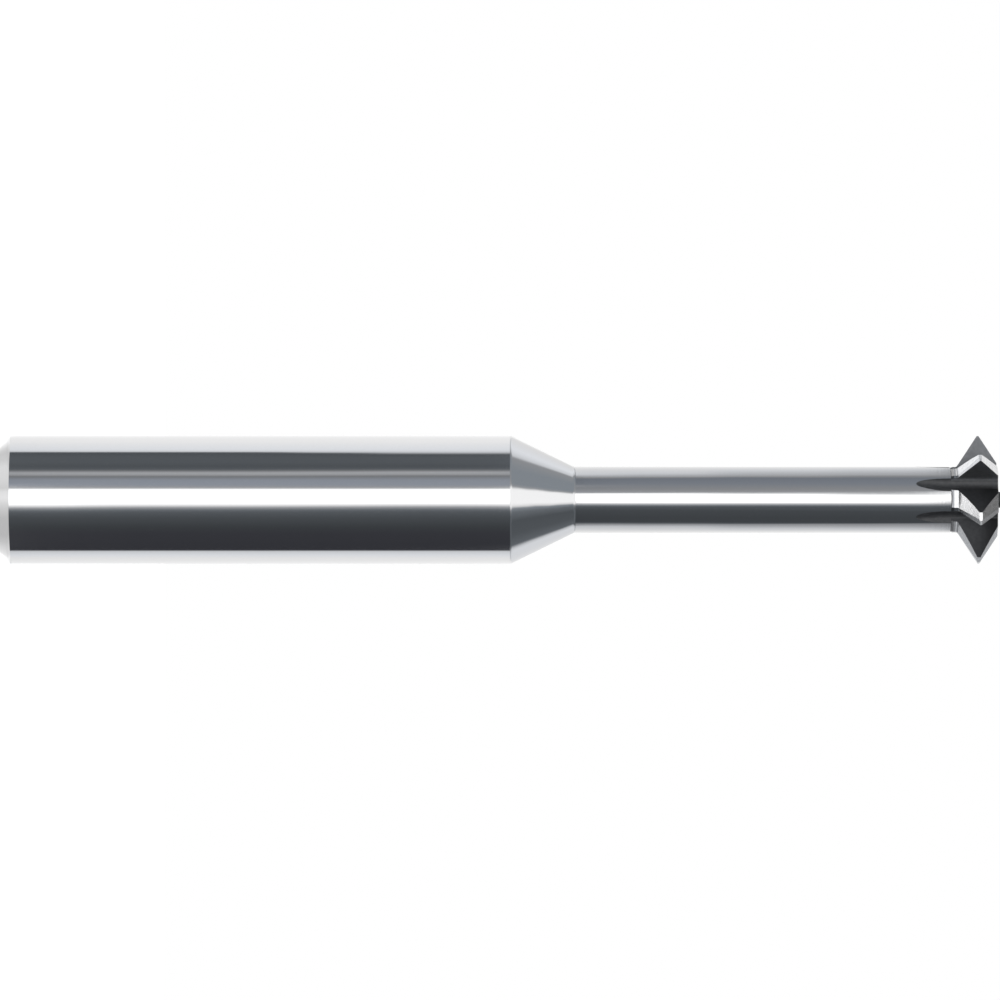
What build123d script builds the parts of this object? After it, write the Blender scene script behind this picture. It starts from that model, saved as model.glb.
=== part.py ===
from build123d import *
import os
from math import acos, atan2, cos, degrees, radians, sin, sqrt, tan

# Solid single-profile thread mill with six teeth, right-hand cutting.
# Millimetres. The tool stands on its shank end: the origin is the middle of that end,
# +Z runs along the axis to the cutting end and the first cutting edge lies over +X.
# Seen from +Z the tool turns anticlockwise, so the edges lead towards +Y from there.

# Shank, cone and neck
shank_diameter = 10.0
shank_length = 40.0
shank_end_chamfer = 1.0
shank_edge_radius = 0.4
cone_half_angle = 26.3
neck_diameter = 5.15
neck_corner_radius = 0.5

# Cutting head, lengths along the axis
body_length = 77.8
crest_setback = 1.46
crest_width = 0.14
profile_angle = 67.4
root_band_diameter = 5.20
root_band_width = 0.28
root_corner_radius = 0.24
root_groove_width = 0.24
root_groove_depth = 0.05

# Teeth, in the section across the axis
tooth_count = 6
cutter_diameter = 10.0
rake_angle = 4.5
tooth_land = 0.98
crest_first_land = 0.34
crest_first_relief = 14.0
flank_first_land = 0.42
flank_first_relief = 6.0
second_relief = 29.0

# Straight flutes between the teeth
flute_depth_in_neck = 0.34
flute_root_radius = 0.57
flute_wheel_radius = 11.0
tooth_back_bulge = 0.08

# Centre pip left on the front face
pip_diameter = 1.24
pip_length = 0.40
pip_chamfer = 0.12

# Derived sizes
shank_r = shank_diameter / 2
neck_r = neck_diameter / 2
cutter_r = cutter_diameter / 2
pip_r = pip_diameter / 2
band_r = root_band_diameter / 2
groove_r = neck_r - root_groove_depth
cone_end = shank_length + (shank_r - neck_r) / tan(radians(cone_half_angle))
flank_slope = tan(radians(profile_angle / 2))
crest_z = body_length - crest_setback
apex_r = cutter_r + crest_width / 2 / flank_slope
rear_foot_z = crest_z - (apex_r - band_r) * flank_slope
band_z = rear_foot_z - root_band_width
head_z = band_z - root_groove_width
pitch = 360 / tooth_count
web_r = neck_r - flute_depth_in_neck

# Working lengths of the cutting bodies, clear of the finished surface
stock = 0.04 * cutter_r
reach = 1.4 * cutter_r
lead = 0.3 * cutter_r


def polar(radius, angle):
    """Point in the XY plane from a radius and an angle in degrees."""
    return Vector(radius * cos(radians(angle)), radius * sin(radians(angle)), 0)


def trail(relief):
    """Direction in which a relieved land falls away behind the cutting edge."""
    return Vector(-sin(radians(relief)), -cos(radians(relief)), 0)


# Turned blank: shank, cone, neck, a plain disc for the head and the pip
blank_outline = Polyline(
    (0, 0, 0),
    (shank_r - shank_end_chamfer, 0, 0),
    (shank_r, 0, shank_end_chamfer),
    (shank_r, 0, shank_length),
    (neck_r, 0, cone_end),
    (neck_r, 0, head_z),
    (cutter_r + stock, 0, head_z),
    (cutter_r + stock, 0, body_length),
    (pip_r, 0, body_length),
    (pip_r, 0, body_length + pip_length - pip_chamfer),
    (pip_r - pip_chamfer, 0, body_length + pip_length),
    (0, 0, body_length + pip_length),
    close=True,
)
blank_section = make_face(blank_outline)
for corner_z in (shank_end_chamfer, shank_length):
    shank_corner = blank_section.vertices().sort_by_distance((shank_r, 0, corner_z))[0]
    blank_section = fillet(shank_corner, shank_edge_radius)
neck_corner = blank_section.vertices().sort_by_distance((neck_r, 0, cone_end))[0]
blank_section = fillet(neck_corner, neck_corner_radius)
blank = revolve(blank_section, axis=Axis.Z)

# Axial form at the edge: root groove, root band and flanks, run on past both ends
front_end_z = body_length + lead
front_end_r = apex_r - (front_end_z - crest_z) / flank_slope
flank_outline = Polyline(
    (-reach, 0, head_z - lead),
    (groove_r, 0, head_z - lead),
    (groove_r, 0, head_z),
    (band_r, 0, band_z),
    (band_r, 0, rear_foot_z),
    (apex_r, 0, crest_z),
    (front_end_r, 0, front_end_z),
    (-reach, 0, front_end_z),
    close=True,
)
flank_form = make_face(flank_outline)
root_corner = flank_form.vertices().sort_by_distance((band_r, 0, rear_foot_z))[0]
flank_form = fillet(root_corner, root_corner_radius)

# Axial form of the crest alone: everything inside the cutting diameter
crest_outline = Polyline(
    (-reach, 0, head_z - lead),
    (cutter_r, 0, head_z - lead),
    (cutter_r, 0, front_end_z),
    (-reach, 0, front_end_z),
    close=True,
)
crest_form = make_face(crest_outline)


def relieved(form, first_relief, first_land):
    """Axial form drawn back along the first relief, then along the second one."""
    first_front = -trail(first_relief) * lead
    first = extrude(Pos(*first_front) * form, amount=lead + 2 * reach, dir=trail(first_relief))
    second_front = trail(first_relief) * first_land - trail(second_relief) * lead
    second = extrude(Pos(*second_front) * form, amount=lead + 2 * reach, dir=trail(second_relief))
    return first & second


# One flute: its root circle touches the rake face and the heel of the next tooth
edge = Vector(cutter_r, 0, 0)
second_land = tooth_land - crest_first_land
heel = edge + trail(crest_first_relief) * crest_first_land + trail(second_relief) * second_land
next_heel = heel.rotate(Axis.Z, pitch)
rake_out = polar(1, rake_angle)
into_flute = polar(1, rake_angle + 90)
along = edge + into_flute * flute_root_radius
down = along.dot(rake_out)
centre_r = web_r + flute_root_radius
step = down - sqrt(down**2 - along.dot(along) + centre_r**2)
root_centre = along - rake_out * step
rake_foot = root_centre - into_flute * flute_root_radius

to_heel = next_heel - root_centre
turn_to_foot = degrees(acos(flute_root_radius / to_heel.length))
back_bearing = degrees(atan2(to_heel.Y, to_heel.X)) + turn_to_foot
back_foot = root_centre + polar(flute_root_radius, back_bearing)
middle_bearing = (rake_angle + 270 + back_bearing) / 2
root_middle = root_centre + polar(flute_root_radius, middle_bearing)
back_chord = next_heel - back_foot
back_middle = (back_foot + next_heel) / 2 - back_chord.normalized().rotate(Axis.Z, 90) * tooth_back_bulge
rake_far = edge + rake_out * (reach - cutter_r)
back_far = next_heel + back_chord.normalized() * (reach - heel.length)
flute_outline = [
    Line(rake_far, rake_foot),
    ThreePointArc(rake_foot, root_middle, back_foot),
    ThreePointArc(back_foot, back_middle, next_heel),
    Line(next_heel, back_far),
    Line(back_far, rake_far),
]
flute_section = Pos(0, 0, head_z) * make_face(flute_outline)

# The flute runs straight through the head and lifts out of the neck on the wheel's radius
root_bearing = degrees(atan2(root_centre.Y, root_centre.X))
wheel_centre = polar(web_r + flute_wheel_radius, root_bearing) + Vector(0, 0, head_z)
wheel_axis = Axis(wheel_centre, polar(1, root_bearing - 90))
flute_through = extrude(flute_section, amount=body_length - head_z + lead, dir=(0, 0, 1))
flute_runout = revolve(flute_section, axis=wheel_axis, revolution_arc=30)

# Stock to take off one tooth: its share of the head less the relieved forms
share_base = Polyline(
    (0, 0, 0),
    polar(reach, root_bearing),
    polar(reach, root_bearing - pitch / 2),
    polar(reach, root_bearing - pitch),
    close=True,
)
share = extrude(Pos(0, 0, head_z) * make_face(share_base), amount=body_length - head_z, dir=(0, 0, 1))
kept_form = relieved(crest_form, crest_first_relief, crest_first_land)
kept_form = kept_form & relieved(flank_form, flank_first_relief, flank_first_land)
relief_stock = share - kept_form

thread_mill = blank
for tooth in range(tooth_count):
    thread_mill = thread_mill - Rot(0, 0, tooth * pitch) * relief_stock
for tooth in range(tooth_count):
    thread_mill = thread_mill - Rot(0, 0, tooth * pitch) * flute_through
    thread_mill = thread_mill - Rot(0, 0, tooth * pitch) * flute_runout

os.makedirs("parts", exist_ok=True)
export_step(thread_mill, "parts/thread_mill.step")
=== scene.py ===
"""Studio scene for the solid carbide thread mill, in the CAD frame and in metres.

The tool stands on its shank end with its axis along +Z. The photograph lays that axis
along the picture, so the camera is rolled a quarter turn: picture right is +Z.
"""

import logging
import math
from dataclasses import dataclass
from enum import Enum

import bmesh
import bpy
from mathutils import Matrix, Vector

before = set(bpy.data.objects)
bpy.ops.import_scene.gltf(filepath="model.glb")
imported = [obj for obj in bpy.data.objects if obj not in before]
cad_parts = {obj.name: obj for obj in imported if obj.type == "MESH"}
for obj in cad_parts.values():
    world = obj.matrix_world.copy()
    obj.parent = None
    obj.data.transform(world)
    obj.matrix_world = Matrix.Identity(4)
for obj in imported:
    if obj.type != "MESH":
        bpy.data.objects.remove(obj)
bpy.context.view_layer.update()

log = logging.getLogger("thread_mill_scene")

MM = 0.001
PHOTO_AZIMUTH = -83.0


class Zone(Enum):
    """Ground surfaces whose roughness and tone differ from the polished shank's. The dark tones of the
    flutes, tooth backs, rakes and root groove are painted shade in the hollows of the head.
    """

    FLUTE = "Flute"
    BACK = "Tooth Back"
    RAKE = "Rake"
    LAND = "Land"
    BAND = "Root Band"
    GROOVE = "Root Groove"


class Tint(Enum):
    """Colour casts of the cards and cloths round the tool."""

    PLAIN = (1.0, 1.0, 1.0)
    COOL = (0.970, 0.996, 1.035)
    SLATE = (0.905, 1.0, 1.10)
    BLUE = (0.90, 0.985, 1.13)
    VIOLET = (0.94, 0.97, 1.15)


@dataclass(frozen=True)
class Stop:
    """A level of light at one bearing round the tool.

    A bearing of 0 is the camera's side, and it grows towards the top of the picture.
    """

    bearing: float
    level: float
    tint: Tint = Tint.PLAIN


class NodeDesk:
    """Adds nodes to a tree and joins them, left to right."""

    def __init__(self, tree: bpy.types.NodeTree) -> None:
        """Start on a tree.

        Args:
            tree: The node tree that gets the nodes.
        """
        self.tree = tree
        self.column = 0

    def add(self, kind: str, **settings: object) -> bpy.types.Node:
        """Add a node and set its plain properties.

        Args:
            kind: The node's type name in Blender.
            **settings: Properties of the node and their values.

        Returns:
            The new node.
        """
        node = self.tree.nodes.new(kind)
        self.column += 1
        node.location = (self.column * 180, 0)
        for name, value in settings.items():
            setattr(node, name, value)
        return node

    def join(self, source: bpy.types.NodeSocket, target: bpy.types.NodeSocket) -> None:
        """Link an output to an input."""
        self.tree.links.new(source, target)

    def math(self, operation: str, *values: object) -> bpy.types.NodeSocket:
        """Add a Math node.

        Args:
            operation: The node's operation.
            *values: Sockets or numbers for its inputs, in order.

        Returns:
            The node's output.
        """
        node = self.add("ShaderNodeMath", operation=operation)
        for place, value in enumerate(values):
            self.feed(node.inputs[place], value)
        return node.outputs[0]

    def vector(self, operation: str, *values: object) -> bpy.types.NodeSocket:
        """Add a Vector Math node.

        Args:
            operation: The node's operation.
            *values: Sockets or vectors for its inputs, in order.

        Returns:
            The node's number for a length or dot product, else its vector.
        """
        node = self.add("ShaderNodeVectorMath", operation=operation)
        for place, value in enumerate(values):
            self.feed(node.inputs[place], value)
        return node.outputs["Value" if operation in ("LENGTH", "DOT_PRODUCT") else "Vector"]

    def axis(self, vector: bpy.types.NodeSocket, index: int) -> bpy.types.NodeSocket:
        """Take one number out of a vector."""
        node = self.add("ShaderNodeSeparateXYZ")
        self.join(vector, node.inputs[0])
        return node.outputs[index]

    def above(self, value: bpy.types.NodeSocket, limit: float) -> bpy.types.NodeSocket:
        """Give 1 where a value is over a limit, else 0."""
        return self.math("GREATER_THAN", value, limit)

    def below(self, value: bpy.types.NodeSocket, limit: float) -> bpy.types.NodeSocket:
        """Give 1 where a value is under a limit, else 0."""
        return self.math("LESS_THAN", value, limit)

    def fade(self, value: bpy.types.NodeSocket, start: float, end: float) -> bpy.types.NodeSocket:
        """Rise smoothly from 0 to 1 while a value goes from start to end."""
        node = self.add("ShaderNodeMapRange", interpolation_type="SMOOTHSTEP")
        self.join(value, node.inputs["Value"])
        node.inputs["From Min"].default_value = start
        node.inputs["From Max"].default_value = end
        return node.outputs[0]

    def feed(self, target: bpy.types.NodeSocket, value: object) -> None:
        """Give an input a link or a plain value."""
        if isinstance(value, bpy.types.NodeSocket):
            self.join(value, target)
        else:
            target.default_value = value

    def ramp(
        self,
        factor: bpy.types.NodeSocket,
        stops: list[tuple[float, tuple[float, ...]]],
    ) -> bpy.types.NodeSocket:
        """Add a colour ramp.

        Args:
            factor: What the ramp reads.
            stops: Pairs of a place from 0 to 1 and an RGBA colour, 32 at most.

        Returns:
            The ramp's colour output.
        """
        node = self.add("ShaderNodeValToRGB")
        band = node.color_ramp
        while len(band.elements) < len(stops):
            band.elements.new(1.0)
        for element, (place, colour) in zip(band.elements, stops):
            element.position = place
            element.color = colour
        self.join(factor, node.inputs[0])
        return node.outputs[0]

    def by_bearing(self, stops: tuple[Stop, ...], full: float) -> bpy.types.NodeSocket:
        """Add a colour that follows the bearing round the tool.

        The ramp starts at a bearing of -180 degrees, ends at 180 and has 0 in its middle.

        Args:
            stops: The levels, in order of bearing.
            full: The level that the ramp's own white stands for.

        Returns:
            A colour, to be shown at a strength of full.
        """
        place = self.add("ShaderNodeTexCoord")
        turn = self.add("ShaderNodeMapping")
        turn.inputs["Rotation"].default_value = (0.0, 0.0, -math.radians(PHOTO_AZIMUTH))
        self.join(place.outputs["Object"], turn.inputs["Vector"])
        parts = self.add("ShaderNodeSeparateXYZ")
        self.join(turn.outputs[0], parts.inputs[0])
        bearing = self.math("ARCTAN2", parts.outputs[1], parts.outputs[0])
        share = self.math("MULTIPLY_ADD", bearing, -0.5 / math.pi, 0.5)
        marks = []
        for stop in stops:
            colour = tuple(stop.level / full * part for part in stop.tint.value) + (1.0,)
            marks.append((stop.bearing / 360 + 0.5, colour))
        return self.ramp(share, marks)


def new_group(name: str, inputs: dict[str, str], outputs: dict[str, str]) -> bpy.types.NodeTree:
    """Make an empty shader node group with named sockets.

    Args:
        name: The group's name.
        inputs: Input names and their socket types.
        outputs: Output names and their socket types.

    Returns:
        The group's tree, holding its Group Input and Group Output nodes.
    """
    tree = bpy.data.node_groups.new(name, "ShaderNodeTree")
    for label, kind in inputs.items():
        tree.interface.new_socket(label, in_out="INPUT", socket_type=kind)
    for label, kind in outputs.items():
        tree.interface.new_socket(label, in_out="OUTPUT", socket_type=kind)
    tree.nodes.new("NodeGroupInput").name = "in"
    tree.nodes.new("NodeGroupOutput").name = "out"
    return tree


@dataclass
class GrindingLines:
    """Fine lines that a grinding wheel leaves, as a node group.

    Given object coordinates, the lines run round the axis, and they change along Z.
    """

    name: str = "grinding_lines"
    fine_scale: float = 1.0
    fine_detail: float = 3.0
    fine_roughness: float = 0.6
    wide_scale: float = 0.16
    wide_detail: float = 1.0
    wide_share: float = 0.5

    def build(self) -> bpy.types.NodeTree:
        """Make the group.

        Returns:
            A group that turns a position into a line height and a dullness.
        """
        tree = new_group(
            self.name,
            {
                "Vector": "NodeSocketVector",
                "Lines per Metre": "NodeSocketFloat",
                "Streaks per Metre": "NodeSocketFloat",
            },
            {"Height": "NodeSocketFloat", "Dullness": "NodeSocketFloat"},
        )
        desk = NodeDesk(tree)
        source = tree.nodes["in"]
        target = tree.nodes["out"]
        parts = desk.add("ShaderNodeSeparateXYZ")
        desk.join(source.outputs["Vector"], parts.inputs[0])
        across = desk.math("MULTIPLY", parts.outputs[2], source.outputs["Lines per Metre"])
        side = desk.math("MULTIPLY", parts.outputs[0], source.outputs["Streaks per Metre"])
        deep = desk.math("MULTIPLY", parts.outputs[1], source.outputs["Streaks per Metre"])
        place = desk.add("ShaderNodeCombineXYZ")
        for index, value in enumerate((side, deep, across)):
            desk.join(value, place.inputs[index])
        fine = desk.add("ShaderNodeTexNoise", noise_dimensions="3D")
        fine.inputs["Scale"].default_value = self.fine_scale
        fine.inputs["Detail"].default_value = self.fine_detail
        fine.inputs["Roughness"].default_value = self.fine_roughness
        desk.join(place.outputs[0], fine.inputs["Vector"])
        wide = desk.add("ShaderNodeTexNoise", noise_dimensions="3D")
        wide.inputs["Scale"].default_value = self.wide_scale
        wide.inputs["Detail"].default_value = self.wide_detail
        desk.join(place.outputs[0], wide.inputs["Vector"])
        desk.join(fine.outputs["Fac"], target.inputs["Height"])
        dull = desk.math("MULTIPLY", wide.outputs["Fac"], self.wide_share)
        dull = desk.math("MULTIPLY_ADD", fine.outputs["Fac"], 1.0 - self.wide_share, dull)
        desk.join(dull, target.inputs["Dullness"])
        return tree


@dataclass
class CarbideGrain:
    """Faint mottling of the hard metal's grain, as a node group."""

    name: str = "carbide_grain"
    detail: float = 2.0

    def build(self) -> bpy.types.NodeTree:
        """Make the group.

        Returns:
            A group that turns a position into a mottle around one half.
        """
        tree = new_group(
            self.name,
            {"Vector": "NodeSocketVector", "Grains per Metre": "NodeSocketFloat"},
            {"Mottle": "NodeSocketFloat"},
        )
        desk = NodeDesk(tree)
        noise = desk.add("ShaderNodeTexNoise", noise_dimensions="3D")
        noise.inputs["Detail"].default_value = self.detail
        desk.join(tree.nodes["in"].outputs["Vector"], noise.inputs["Vector"])
        desk.join(tree.nodes["in"].outputs["Grains per Metre"], noise.inputs["Scale"])
        desk.join(noise.outputs["Fac"], tree.nodes["out"].inputs["Mottle"])
        return tree


@dataclass
class HeadZones:
    """Masks of the fluted and relieved surfaces of the cutting head, as a node group.

    No two masks overlap, and outside all of them the tool is polished. The painted shade
    grows along the backs of the teeth towards the front face. Seen along the axis, lean is the
    cosine of the angle from the way outward to the surface's normal and turn is its sine.
    Tilt is how far the normal points along the axis.
    """

    name: str = "head_zones"
    runout_start: float = 71.4 * MM
    head_start: float = 74.14 * MM
    groove_end: float = 74.38 * MM
    band_end: float = 74.72 * MM
    runout_edge: float = 2.555 * MM
    flute_floor: float = 2.33 * MM
    runout_tilt: float = 0.04
    runout_lean: float = 0.97
    upright_tilt: float = 0.3
    wall_lean: float = 0.88
    rake_turn: float = 0.8
    back_turn: float = -0.3
    shade_start: float = 75.9 * MM
    shade_end: float = 77.6 * MM

    def build(self) -> bpy.types.NodeTree:
        """Make the group.

        Returns:
            A group that turns a position and a normal into one mask for each zone and a mask of painted
            shade.
        """
        tree = new_group(
            self.name,
            {"Vector": "NodeSocketVector", "Normal": "NodeSocketVector"},
            {zone.value: "NodeSocketFloat" for zone in Zone} | {"Shade": "NodeSocketFloat"},
        )
        desk = NodeDesk(tree)
        source = tree.nodes["in"]
        target = tree.nodes["out"]
        level = (1.0, 1.0, 0.0)
        flat = desk.vector("MULTIPLY", source.outputs["Vector"], level)
        radius = desk.vector("LENGTH", flat)
        outward = desk.vector("NORMALIZE", flat)
        facing = desk.vector("NORMALIZE", desk.vector("MULTIPLY", source.outputs["Normal"], level))
        lean = desk.vector("DOT_PRODUCT", outward, facing)
        turn = desk.axis(desk.vector("CROSS_PRODUCT", outward, facing), 2)
        height = desk.axis(source.outputs["Vector"], 2)
        tilt = desk.math("ABSOLUTE", desk.axis(source.outputs["Normal"], 2))

        in_head = desk.above(height, self.head_start)
        in_runout = desk.math("SUBTRACT", desk.above(height, self.runout_start), in_head)
        hollow = desk.math("MAXIMUM", desk.above(tilt, self.runout_tilt), desk.below(lean, self.runout_lean))
        sunk = desk.math("MAXIMUM", desk.below(radius, self.runout_edge), hollow)
        runout = desk.math("MULTIPLY", in_runout, sunk)
        upright = desk.math("MULTIPLY", in_head, desk.below(tilt, self.upright_tilt))
        wall = desk.math("MULTIPLY", upright, desk.below(lean, self.wall_lean))
        floor = desk.math("MULTIPLY", upright, desk.below(radius, self.flute_floor))
        rake = desk.math("MULTIPLY", wall, desk.above(turn, self.rake_turn))
        back = desk.math("MULTIPLY", wall, desk.below(turn, self.back_turn))
        back = desk.math("MULTIPLY", back, desk.above(radius, self.flute_floor))
        cuts = desk.math("MAXIMUM", wall, floor)
        sides = desk.math("SUBTRACT", cuts, desk.math("ADD", rake, back))
        land = desk.math("SUBTRACT", in_head, cuts)
        groove = desk.math("MULTIPLY", land, desk.below(height, self.groove_end))
        band = desk.math("MULTIPLY", land, desk.below(height, self.band_end))
        # Painted shade on the tooth backs, growing towards the front face
        shade = desk.math("MULTIPLY", back, desk.fade(height, self.shade_start, self.shade_end))

        desk.join(desk.math("MAXIMUM", runout, sides), target.inputs[Zone.FLUTE.value])
        desk.join(rake, target.inputs[Zone.RAKE.value])
        desk.join(back, target.inputs[Zone.BACK.value])
        desk.join(shade, target.inputs["Shade"])
        desk.join(desk.math("SUBTRACT", land, band), target.inputs[Zone.LAND.value])
        desk.join(desk.math("SUBTRACT", band, groove), target.inputs[Zone.BAND.value])
        desk.join(groove, target.inputs[Zone.GROOVE.value])
        return tree


class MixSocket:
    """Places of the colour sockets on Blender's Mix node, whose names repeat by type."""

    FACTOR: int = 0
    BELOW: int = 6
    ABOVE: int = 7
    RESULT: int = 2


@dataclass(frozen=True)
class ZoneToneAndGloss:
    """Tone and roughness of one kind of ground surface. In the hollows of the head the tone is darkened with
    painted shade.
    """

    colour: tuple[float, float, float]
    roughness: float


@dataclass(frozen=True)
class GroundCarbide:
    """Ground and polished cemented carbide, with a tone and a roughness for each zone.

    The rougher grind of the flutes, tooth backs, rakes and root groove is in their roughness.
    Their far darker tones are painted shade in the hollows of the head.
    """

    polished: ZoneToneAndGloss = ZoneToneAndGloss((0.62, 0.62, 0.625), 0.075)
    # Dark tones of the flutes, tooth backs and rakes: painted shade in the hollows of the head, over their
    # rougher grind
    flute: ZoneToneAndGloss = ZoneToneAndGloss((0.104, 0.105, 0.108), 0.60)
    back: ZoneToneAndGloss = ZoneToneAndGloss((0.081, 0.082, 0.086), 0.64)
    rake: ZoneToneAndGloss = ZoneToneAndGloss((0.205, 0.209, 0.218), 0.54)
    land: ZoneToneAndGloss = ZoneToneAndGloss((0.66, 0.66, 0.665), 0.24)
    band: ZoneToneAndGloss = ZoneToneAndGloss((0.50, 0.50, 0.505), 0.10)
    # Dark tone of the root groove: painted shade in the groove
    groove: ZoneToneAndGloss = ZoneToneAndGloss((0.22, 0.22, 0.223), 0.12)
    lines_per_metre: float = 7000.0
    streaks_per_metre: float = 60.0
    line_depth: float = 0.00035 * MM
    grains_per_metre: float = 4200.0
    gloss_spread: float = 0.04
    tone_spread: float = 0.03
    head_spread: float = 0.42
    # How far the painted shade darkens the tooth backs at the front face
    shade_depth: float = 0.64

    def by_zone(self) -> dict[Zone, ZoneToneAndGloss]:
        """The tones and roughnesses that differ from the polished ones, by zone, with painted shade in the
        dark tones of the hollows.
        """
        return {
            Zone.LAND: self.land,
            Zone.BAND: self.band,
            Zone.GROOVE: self.groove,
            Zone.RAKE: self.rake,
            Zone.FLUTE: self.flute,
            Zone.BACK: self.back,
        }

    def lay_zones(
        self,
        desk: NodeDesk,
        zones: bpy.types.Node,
        gloss: bpy.types.NodeSocket,
    ) -> tuple[bpy.types.NodeSocket, bpy.types.NodeSocket, bpy.types.NodeSocket]:
        """Lay the tone and roughness of each zone over the polished ones, painted shade in the hollows
        included.

        Args:
            desk: Adds the nodes.
            zones: The head_zones node.
            gloss: Roughness of the polished finish.

        Returns:
            The colour, the roughness and the sum of the zones' masks.
        """
        colour = (*self.polished.colour, 1.0)
        cut = 0.0
        for zone, finish in self.by_zone().items():
            mask = zones.outputs[zone.value]
            tone = desk.add("ShaderNodeMix", data_type="RGBA")
            desk.join(mask, tone.inputs[MixSocket.FACTOR])
            desk.feed(tone.inputs[MixSocket.BELOW], colour)
            desk.feed(tone.inputs[MixSocket.ABOVE], (*finish.colour, 1.0))
            colour = tone.outputs[MixSocket.RESULT]
            gloss = desk.math("MULTIPLY_ADD", mask, finish.roughness - self.polished.roughness, gloss)
            cut = desk.math("ADD", mask, cut)
        return colour, gloss, cut

    def build(self) -> bpy.types.Material:
        """Make the material.

        Returns:
            A metal whose tone and gloss follow the zones, the grinding lines and the grain, with painted
            shade in the hollows of the head and along the tooth backs.
        """
        material = bpy.data.materials.new("ground_carbide")
        material.use_nodes = True
        tree = material.node_tree
        desk = NodeDesk(tree)
        metal = tree.nodes["Principled BSDF"]
        metal.inputs["Metallic"].default_value = 1.0
        place = desk.add("ShaderNodeTexCoord")
        zones = desk.add("ShaderNodeGroup", node_tree=HeadZones().build())
        desk.join(place.outputs["Object"], zones.inputs["Vector"])
        desk.join(place.outputs["Normal"], zones.inputs["Normal"])
        lines = desk.add("ShaderNodeGroup", node_tree=GrindingLines().build())
        lines.inputs["Lines per Metre"].default_value = self.lines_per_metre
        lines.inputs["Streaks per Metre"].default_value = self.streaks_per_metre
        desk.join(place.outputs["Object"], lines.inputs["Vector"])
        grain = desk.add("ShaderNodeGroup", node_tree=CarbideGrain().build())
        grain.inputs["Grains per Metre"].default_value = self.grains_per_metre
        desk.join(place.outputs["Object"], grain.inputs["Vector"])

        start = self.polished.roughness - self.gloss_spread / 2
        gloss = desk.math("MULTIPLY_ADD", lines.outputs["Dullness"], self.gloss_spread, start)
        colour, gloss, cut = self.lay_zones(desk, zones, gloss)
        desk.join(gloss, metal.inputs["Roughness"])
        spread = desk.math("MULTIPLY_ADD", cut, self.head_spread - self.tone_spread, self.tone_spread)
        swing = desk.math("SUBTRACT", grain.outputs["Mottle"], 0.5)
        mottle = desk.math("MULTIPLY_ADD", swing, spread, 1.0)
        # Painted shade: the backs of the teeth darken towards the front face
        shade = desk.math("MULTIPLY_ADD", zones.outputs["Shade"], -self.shade_depth, 1.0)
        # The zones' colour, scaled by the grain's random mottle and by the painted shade
        grain_and_painted_shade = desk.add("ShaderNodeVectorMath", operation="SCALE")
        desk.join(colour, grain_and_painted_shade.inputs[0])
        desk.join(desk.math("MULTIPLY", mottle, shade), grain_and_painted_shade.inputs["Scale"])
        desk.join(grain_and_painted_shade.outputs[0], metal.inputs["Base Color"])

        bump = desk.add("ShaderNodeBump")
        bump.inputs["Strength"].default_value = 1.0
        bump.inputs["Distance"].default_value = self.line_depth
        desk.join(lines.outputs["Height"], bump.inputs["Height"])
        desk.join(bump.outputs[0], metal.inputs["Normal"])
        return material


@dataclass
class ThreadMill:
    """The tool itself: one ground solid, which keeps its CAD mesh."""

    node: str = "thread_mill"
    finish: GroundCarbide = GroundCarbide()

    def dress(self) -> None:
        """Give the CAD node its finish."""
        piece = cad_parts[self.node]
        material = self.finish.build()
        piece.data.materials.clear()
        piece.data.materials.append(material)
        log.info("piece %s: %d facets, finish %s", self.node, len(piece.data.polygons), material.name)


@dataclass(frozen=True)
class TentBand:
    """One height of the light tent, with its cards told by their bearings."""

    name: str
    low: float
    high: float
    stops: tuple[Stop, ...]


# Cards for the heights that the chamfer and its rounding show
FOOT_CARDS = (
    Stop(-180, 1.35),
    Stop(-173, 1.0),
    Stop(-166, 0.40, Tint.COOL),
    Stop(-158, 0.24, Tint.COOL),
    Stop(-140, 0.22, Tint.COOL),
    Stop(-108, 0.17, Tint.SLATE),
    Stop(-40, 0.17, Tint.SLATE),
    Stop(-25, 1.9),
    Stop(85, 1.9),
    Stop(108, 0.17, Tint.SLATE),
    Stop(138, 0.45, Tint.COOL),
    Stop(150, 1.5, Tint.COOL),
    Stop(180, 1.7),
)
DEEP_CARDS = (
    Stop(-180, 0.78, Tint.COOL),
    Stop(-160, 0.80, Tint.COOL),
    Stop(-140, 0.35, Tint.COOL),
    Stop(-108, 0.40, Tint.COOL),
    Stop(-34, 0.085, Tint.SLATE),
    Stop(-12, 0.14, Tint.SLATE),
    Stop(-4, 2.1, Tint.COOL),
    Stop(22, 2.1, Tint.COOL),
    Stop(30, 0.25, Tint.COOL),
    Stop(86, 0.17, Tint.SLATE),
    Stop(125, 0.30, Tint.COOL),
    Stop(138, 0.45, Tint.COOL),
    Stop(150, 1.1, Tint.COOL),
    Stop(165, 1.35),
    Stop(180, 1.35),
)


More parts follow.
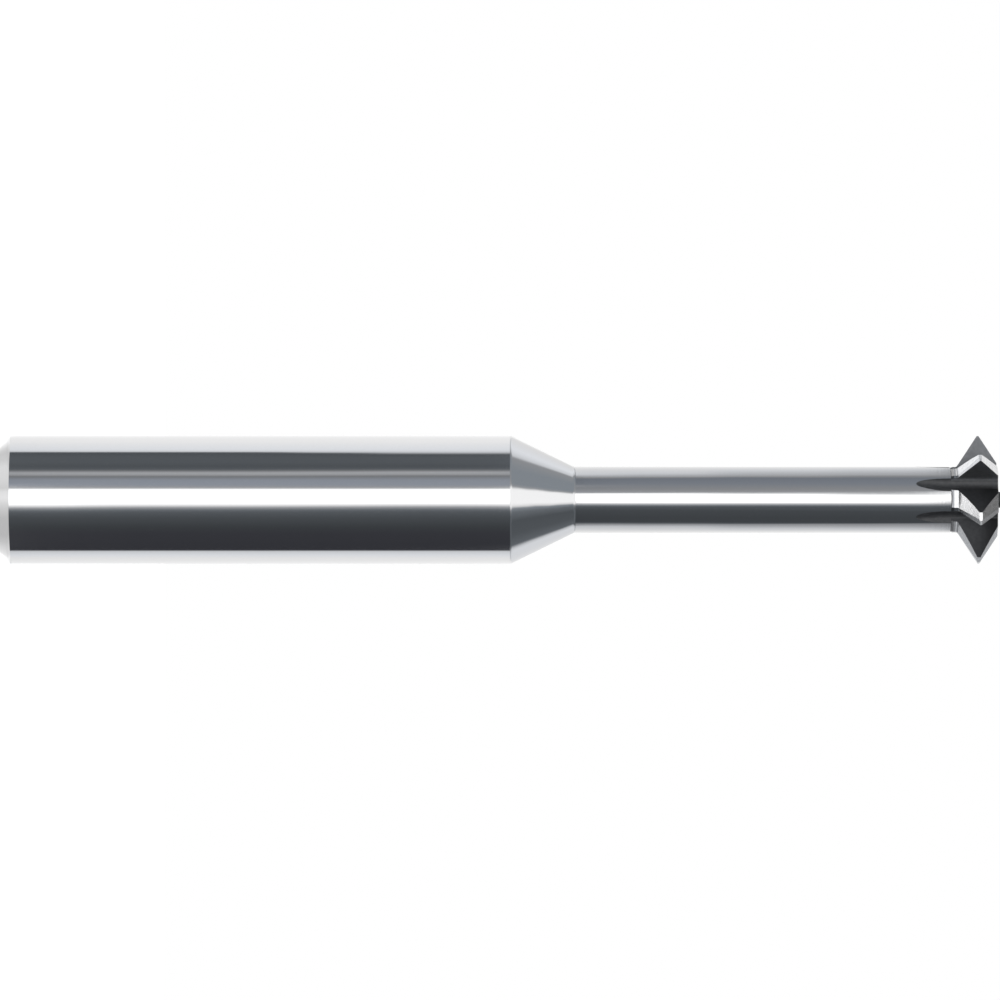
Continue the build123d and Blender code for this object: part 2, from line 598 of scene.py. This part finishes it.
def shank_cards(strip: float, stripe: float, edge: tuple[float, float]) -> tuple[Stop, ...]:
    """Cards that the shank shows: the strip light, dark cards and a thin stripe between two.

    Args:
        strip: Bearing where the strip light reaches its full level from below.
        stripe: Bearing of the thin stripe.
        edge: Bearings where the upper dark card gives way to the backdrop.

    Returns:
        The stops from -180 to 180 degrees.
    """
    return (
        Stop(-180, 1.13),
        Stop(-150, 1.16),
        Stop(-130, 1.16),
        Stop(-118, 1.10, Tint.COOL),
        Stop(-106, 0.92, Tint.COOL),
        Stop(-102.5, 0.050, Tint.VIOLET),
        Stop(-62, 0.057, Tint.VIOLET),
        Stop(-50, 0.070, Tint.SLATE),
        Stop(-32, 0.106, Tint.SLATE),
        Stop(strip - 16, 0.150, Tint.SLATE),
        Stop(strip - 12, 0.22, Tint.SLATE),
        Stop(strip - 7.5, 0.50, Tint.COOL),
        Stop(strip - 3, 1.35),
        Stop(strip, 1.9),
        Stop(18.0, 1.9),
        Stop(20.4, 0.56, Tint.COOL),
        Stop(23, 0.46, Tint.COOL),
        Stop(26, 0.44, Tint.BLUE),
        Stop(36, 0.41, Tint.BLUE),
        Stop(stripe - 7.5, 0.265, Tint.COOL),
        Stop(stripe - 4, 0.51, Tint.COOL),
        Stop(stripe, 0.57, Tint.COOL),
        Stop(stripe + 3.2, 0.27, Tint.COOL),
        Stop(stripe + 6.8, 0.15, Tint.SLATE),
        Stop(62, 0.125, Tint.SLATE),
        Stop(71, 0.145, Tint.SLATE),
        Stop(82, 0.145, Tint.SLATE),
        Stop(edge[0], 0.118, Tint.SLATE),
        Stop(edge[1], 0.98, Tint.COOL),
        Stop(102, 1.15, Tint.COOL),
        Stop(128, 1.24),
        Stop(180, 1.13),
    )


def neck_cards(
    lower: tuple[float, float, float],
    strip: tuple[float, float],
    upper: tuple[float, float, float],
) -> tuple[Stop, ...]:
    """Cards that the neck shows: the strip light between two dark cards and the backdrop.

    Args:
        lower: Bearings where the lower dark card gives way to the backdrop.
        strip: Bearings of the strip light's two edges.
        upper: Bearings where the upper card gives way to the backdrop.

    Returns:
        The stops from -180 to 180 degrees.
    """
    return (
        Stop(-180, 1.11),
        Stop(-148, 1.13),
        Stop(lower[2], 0.83, Tint.COOL),
        Stop(lower[1], 0.49, Tint.COOL),
        Stop(lower[0], 0.165, Tint.SLATE),
        Stop(lower[0] + 5, 0.086, Tint.SLATE),
        Stop(-66, 0.083, Tint.SLATE),
        Stop(-38, 0.098, Tint.SLATE),
        Stop(strip[0] - 10.5, 0.135, Tint.SLATE),
        Stop(strip[0] - 5.5, 0.22, Tint.SLATE),
        Stop(strip[0], 0.66, Tint.COOL),
        Stop(strip[0] + 4.5, 1.4),
        Stop(strip[0] + 7.5, 2.1),
        Stop(strip[1], 2.1),
        Stop(strip[1] + 5, 0.50, Tint.COOL),
        Stop(36, 0.375, Tint.COOL),
        Stop(60, 0.315, Tint.BLUE),
        Stop(upper[0] - 4, 0.275, Tint.BLUE),
        Stop(upper[0], 0.36, Tint.COOL),
        Stop(upper[1], 0.57, Tint.COOL),
        Stop(upper[2], 0.93, Tint.COOL),
        Stop(146, 1.09),
        Stop(180, 1.11),
    )


# Cards for the heights that the head, the roundings at the cone and the cone show
HEAD_CARDS = (
    Stop(-180, 1.13),
    Stop(-146, 1.00),
    Stop(-132, 0.36, Tint.COOL),
    Stop(-110, 0.28, Tint.COOL),
    Stop(-94, 0.22, Tint.COOL),
    Stop(-86, 0.08, Tint.SLATE),
    Stop(-30, 0.09, Tint.SLATE),
    Stop(-14, 0.13, Tint.SLATE),
    Stop(-6, 0.42, Tint.COOL),
    Stop(-1, 2.1),
    Stop(20, 2.1),
    Stop(26, 0.50, Tint.COOL),
    Stop(36, 0.385, Tint.COOL),
    Stop(60, 0.30, Tint.SLATE),
    Stop(84, 0.25, Tint.SLATE),
    Stop(100, 0.28, Tint.COOL),
    Stop(130, 0.33, Tint.COOL),
    Stop(142, 0.62, Tint.COOL),
    Stop(155, 1.08),
    Stop(180, 1.13),
)
GAP_CARDS = (
    Stop(-180, 0.95),
    Stop(-120, 1.04, Tint.COOL),
    Stop(-108, 0.80, Tint.COOL),
    Stop(-99, 0.18, Tint.SLATE),
    Stop(-30, 0.17, Tint.SLATE),
    Stop(-20, 0.35, Tint.COOL),
    Stop(-12, 1.4),
    Stop(20, 1.4),
    Stop(27, 0.50, Tint.COOL),
    Stop(36, 0.42, Tint.COOL),
    Stop(80, 0.36, Tint.SLATE),
    Stop(95, 0.45, Tint.COOL),
    Stop(103, 0.88, Tint.COOL),
    Stop(118, 1.15, Tint.COOL),
    Stop(150, 1.0),
    Stop(180, 0.95),
)
CONE_CARDS = (
    Stop(-180, 0.9, Tint.COOL),
    Stop(-172, 0.55, Tint.COOL),
    Stop(-160, 0.45, Tint.COOL),
    Stop(-148, 0.55, Tint.COOL),
    Stop(-135, 1.10, Tint.COOL),
    Stop(-120, 1.02, Tint.COOL),
    Stop(-112, 0.80, Tint.COOL),
    Stop(-105, 0.19, Tint.SLATE),
    Stop(-80, 0.135, Tint.SLATE),
    Stop(-50, 0.125, Tint.SLATE),
    Stop(-30, 0.215, Tint.SLATE),
    Stop(-21, 0.36, Tint.SLATE),
    Stop(-15.5, 1.10),
    Stop(-9, 1.42),
    Stop(24.7, 1.42),
    Stop(30.9, 0.46, Tint.COOL),
    Stop(37, 0.375, Tint.SLATE),
    Stop(70, 0.37, Tint.SLATE),
    Stop(96.5, 0.42, Tint.COOL),
    Stop(102.5, 0.92, Tint.COOL),
    Stop(120, 1.22, Tint.COOL),
    Stop(150, 1.15),
    Stop(180, 1.1),
)


@dataclass
class LightTent:
    """Glowing bands round the tool, stacked by height, which only its gloss sees.

    They stand in for the strip light on the camera's side, the dark cards beside it and
    the white backdrop behind, and they throw no light or shade on the floor. Each part of
    the tool mirrors bands of its own, so their names tell which.
    """

    radius: float = 0.40
    sides: int = 96
    full: float = 2.5
    bands: tuple[TentBand, ...] = (
        TentBand("tent_foot", -2.60, -0.40, FOOT_CARDS),
        TentBand("tent_deep", -0.40, -0.026, DEEP_CARDS),
        TentBand("tent_shank_1", -0.026, -0.012, shank_cards(-7.7, 49.5, (94, 96.8))),
        TentBand("tent_shank_2", -0.012, 0.014, shank_cards(-6.0, 49.5, (94, 96.8))),
        TentBand("tent_shank_3", 0.014, 0.024, shank_cards(-5.5, 50.0, (91.5, 96.4))),
        TentBand("tent_shank_4", 0.024, 0.0455, shank_cards(-4.9, 50.6, (88.8, 96.0))),
        TentBand(
            "tent_neck_1",
            0.0455,
            0.054,
            neck_cards((-88.8, -96.0, -107.5), (-15.4, 19.7), (81.5, 87.5, 101)),
        ),
        TentBand(
            "tent_neck_2",
            0.054,
            0.065,
            neck_cards((-90.3, -97.8, -109), (-15.4, 19.4), (84.6, 90.5, 106.5)),
        ),
        TentBand(
            "tent_neck_3",
            0.065,
            0.080,
            neck_cards((-92.6, -100.3, -118.6), (-15.0, 17.4), (88.8, 94, 123)),
        ),
        TentBand(
            "tent_neck_4",
            0.080,
            0.089,
            neck_cards((-93.8, -101.3, -121), (-15.2, 15.0), (91, 96, 130)),
        ),
        TentBand(
            "tent_neck_5",
            0.089,
            0.094,
            neck_cards((-93.8, -101.3, -121), (-16.8, 13.5), (91, 96, 130)),
        ),
        TentBand("tent_head", 0.094, 0.108, HEAD_CARDS),
        TentBand("tent_gap", 0.108, 0.27, GAP_CARDS),
        TentBand("tent_high", 0.27, 0.72, CONE_CARDS),
    )
    top_level: float = 0.20

    def cloth(self, name: str, level: tuple[Stop, ...] | float) -> bpy.types.Material:
        """Make the light of one band.

        Args:
            name: The material's name.
            level: The band's stops by bearing, or one plain level.

        Returns:
            A material that only glows.
        """
        material = bpy.data.materials.new(name)
        material.use_nodes = True
        material.cycles.emission_sampling = "NONE"
        tree = material.node_tree
        tree.nodes.clear()
        desk = NodeDesk(tree)
        glow = desk.add("ShaderNodeEmission")
        if isinstance(level, float):
            glow.inputs["Color"].default_value = (level, level, level, 1.0)
        else:
            desk.join(desk.by_bearing(level, self.full), glow.inputs["Color"])
            glow.inputs["Strength"].default_value = self.full
        end = desk.add("ShaderNodeOutputMaterial")
        desk.join(glow.outputs[0], end.inputs["Surface"])
        return material

    def hang(self, shape: bmesh.types.BMesh, name: str, material: bpy.types.Material) -> None:
        """Put one cloth in the scene, seen by gloss alone.

        Args:
            shape: Its mesh in the making, which is freed.
            name: The object's name.
            material: What it glows with.
        """
        mesh = bpy.data.meshes.new(name)
        shape.to_mesh(mesh)
        shape.free()
        mesh.materials.append(material)
        cloth = bpy.data.objects.new(name, mesh)
        bpy.context.collection.objects.link(cloth)
        cloth.visible_camera = False
        cloth.visible_diffuse = False
        cloth.visible_shadow = False
        cloth.visible_volume_scatter = False

    def wall(self, band: TentBand) -> bmesh.types.BMesh:
        """Make the upright ring of one band.

        Args:
            band: Tells how high the ring stands.

        Returns:
            The ring's mesh in the making.
        """
        shape = bmesh.new()
        ring = bmesh.ops.create_circle(shape, segments=self.sides, radius=self.radius)
        bmesh.ops.translate(shape, verts=ring["verts"], vec=(0.0, 0.0, band.low))
        drawn = bmesh.ops.extrude_edge_only(shape, edges=shape.edges[:])
        raised = [part for part in drawn["geom"] if isinstance(part, bmesh.types.BMVert)]
        bmesh.ops.translate(shape, verts=raised, vec=(0.0, 0.0, band.high - band.low))
        return shape

    def build(self) -> None:
        """Hang every band and the cloth over the top."""
        for band in self.bands:
            self.hang(self.wall(band), band.name, self.cloth(band.name, band.stops))
            log.info("stage %s: %.3f to %.3f m, %d stops", band.name, band.low, band.high, len(band.stops))
        shape = bmesh.new()
        lid = bmesh.ops.create_circle(shape, segments=self.sides, radius=self.radius, cap_ends=True)
        bmesh.ops.translate(shape, verts=lid["verts"], vec=(0.0, 0.0, self.bands[-1].high))
        self.hang(shape, "tent_top", self.cloth("tent_top", self.top_level))
        log.info("stage tent_top")


# Painted light on the floor: levels of the white that gloss sees close to the tool, brighter and darker by
# bearing
FLOOR_LEVELS = (
    Stop(-180, 1.1),
    Stop(-95, 1.40),
    Stop(-80, 1.13),
    Stop(-62, 1.0),
    Stop(-52, 0.86),
    Stop(-42, 0.76),
    Stop(-20, 0.78),
    Stop(-8, 0.98),
    Stop(2, 1.25),
    Stop(8, 1.20),
    Stop(13, 0.98),
    Stop(22, 1.08),
    Stop(38, 1.12),
    Stop(48, 0.96),
    Stop(60, 0.88),
    Stop(68, 0.96),
    Stop(80, 1.18),
    Stop(95, 1.40),
    Stop(180, 1.1),
)


@dataclass
class StudioFloor:
    """Plain pale floor that the tool stands on.

    Gloss sees it as a glowing white close to the tool, with uneven light painted on it by bearing,
    and the white fades into the tent beyond that.
    """

    radius: float = 0.35
    sides: int = 96
    near: float = 6.5 * MM
    fade_end: float = 17.0 * MM
    paint: float = 0.80
    lift: float = 0.22
    full: float = 1.5

    def finish(self) -> bpy.types.Material:
        """Make the floor's pale paint.

        Returns:
            A diffuse material with a little lift, and its own white in gloss.
        """
        material = bpy.data.materials.new("pale_floor")
        material.use_nodes = True
        tree = material.node_tree
        tree.nodes.clear()
        desk = NodeDesk(tree)
        paint = desk.add("ShaderNodeBsdfDiffuse")
        paint.inputs["Color"].default_value = (self.paint, self.paint, self.paint, 1.0)
        lift = desk.add("ShaderNodeEmission")
        lift.inputs["Strength"].default_value = self.lift
        lit = desk.add("ShaderNodeAddShader")
        desk.join(paint.outputs[0], lit.inputs[0])
        desk.join(lift.outputs[0], lit.inputs[1])
        # Painted light: the white that gloss sees near the tool glows brighter and darker by bearing
        white = desk.add("ShaderNodeEmission")
        white.inputs["Strength"].default_value = self.full
        desk.join(desk.by_bearing(FLOOR_LEVELS, self.full), white.inputs["Color"])
        clear = desk.add("ShaderNodeBsdfTransparent")
        place = desk.add("ShaderNodeTexCoord")
        reach = desk.add("ShaderNodeVectorMath", operation="LENGTH")
        desk.join(place.outputs["Object"], reach.inputs[0])
        far = desk.fade(reach.outputs["Value"], self.near, self.fade_end)
        seen = desk.add("ShaderNodeMixShader")
        desk.join(far, seen.inputs[0])
        desk.join(white.outputs[0], seen.inputs[1])
        desk.join(clear.outputs[0], seen.inputs[2])
        path = desk.add("ShaderNodeLightPath")
        gloss = desk.math("MAXIMUM", path.outputs["Is Glossy Ray"], path.outputs["Is Transmission Ray"])
        floor = desk.add("ShaderNodeMixShader")
        desk.join(gloss, floor.inputs[0])
        desk.join(lit.outputs[0], floor.inputs[1])
        desk.join(seen.outputs[0], floor.inputs[2])
        end = desk.add("ShaderNodeOutputMaterial")
        desk.join(floor.outputs[0], end.inputs["Surface"])
        return material

    def build(self) -> None:
        """Lay the floor under the shank end."""
        shape = bmesh.new()
        bmesh.ops.create_circle(shape, segments=self.sides, radius=self.radius, cap_ends=True)
        mesh = bpy.data.meshes.new("studio_floor")
        shape.to_mesh(mesh)
        shape.free()
        mesh.materials.append(self.finish())
        floor = bpy.data.objects.new("studio_floor", mesh)
        bpy.context.collection.objects.link(floor)
        log.info("stage studio_floor: radius %.2f m", self.radius)


@dataclass
class StudioLight:
    """Soft lamps and an even white room."""

    room: float = 0.80
    lamp_height: float = 0.55
    lamp_reach: float = 0.45
    lamp_size: float = 0.50
    lamp_power: float = 1.6
    lamp_bearings: tuple[float, ...] = (50.0, -60.0, 170.0)

    def room_light(self) -> None:
        """White where the camera and gloss look, and a plain level elsewhere."""
        world = bpy.data.worlds.new("white_room")
        bpy.context.scene.world = world
        world.use_nodes = True
        tree = world.node_tree
        desk = NodeDesk(tree)
        path = desk.add("ShaderNodeLightPath")
        seen = desk.math("MAXIMUM", path.outputs["Is Camera Ray"], path.outputs["Is Glossy Ray"])
        seen = desk.math("MAXIMUM", seen, path.outputs["Is Transmission Ray"])
        level = desk.math("MULTIPLY_ADD", seen, 1.0 - self.room, self.room)
        desk.join(level, tree.nodes["Background"].inputs["Strength"])
        tree.nodes["Background"].inputs["Color"].default_value = (1.0, 1.0, 1.0, 1.0)

    def lamps(self) -> None:
        """Hang the soft lamps round the tool."""
        for index, bearing in enumerate(self.lamp_bearings):
            azimuth = math.radians(PHOTO_AZIMUTH - bearing)
            name = f"soft_lamp_{index + 1}"
            lamp = bpy.data.lights.new(name, "AREA")
            lamp.shape = "DISK"
            lamp.size = self.lamp_size
            lamp.energy = self.lamp_power
            holder = bpy.data.objects.new(name, lamp)
            bpy.context.collection.objects.link(holder)
            spot = Vector((math.cos(azimuth), math.sin(azimuth), 0.0)) * self.lamp_reach
            spot.z = self.lamp_height
            holder.matrix_world = Matrix.Translation(spot) @ spot.to_track_quat("Z", "Y").to_matrix().to_4x4()
            holder.visible_glossy = False
            log.info("lamp %s", name)

    def build(self) -> None:
        """Light the room."""
        self.room_light()
        self.lamps()


@dataclass
class PhotoCamera:
    """Long lens square to the tool's axis, rolled so that picture right is +Z."""

    pixels_per_metre: float = 12850.0
    picture_side: float = 1000.0
    distance: float = 0.70
    sensor: float = 36.0
    middle_column: float = 503.0
    rise: float = 0.2
    clip: tuple[float, float] = (0.01, 10.0)

    def build(self) -> None:
        """Place the camera and make it the scene's own."""
        azimuth = math.radians(PHOTO_AZIMUTH)
        toward = Vector((math.cos(azimuth), math.sin(azimuth), 0.0))
        right = Vector((0.0, 0.0, 1.0))
        up = toward.cross(right)
        lens = bpy.data.cameras.new("photo_camera")
        lens.sensor_width = self.sensor
        lens.lens = self.pixels_per_metre * self.distance * self.sensor / self.picture_side
        lens.clip_start, lens.clip_end = self.clip
        camera = bpy.data.objects.new("photo_camera", lens)
        bpy.context.collection.objects.link(camera)
        middle = Vector((0.0, 0.0, self.middle_column / self.pixels_per_metre))
        pose = Matrix((right, up, toward)).transposed().to_4x4()
        pose.translation = middle + toward * self.distance - up * (self.rise / self.pixels_per_metre)
        camera.matrix_world = pose
        bpy.context.scene.camera = camera
        log.info("camera: %.1f mm lens at %.2f m", lens.lens, self.distance)


def main() -> None:
    """Build the scene, from the camera to the tool's finish."""
    logging.basicConfig(level=logging.INFO, format="%(message)s")
    bpy.context.scene.view_settings.view_transform = "Standard"
    PhotoCamera().build()
    StudioFloor().build()
    StudioLight().build()
    LightTent().build()
    ThreadMill().dress()


if __name__ == "__main__":
    main()
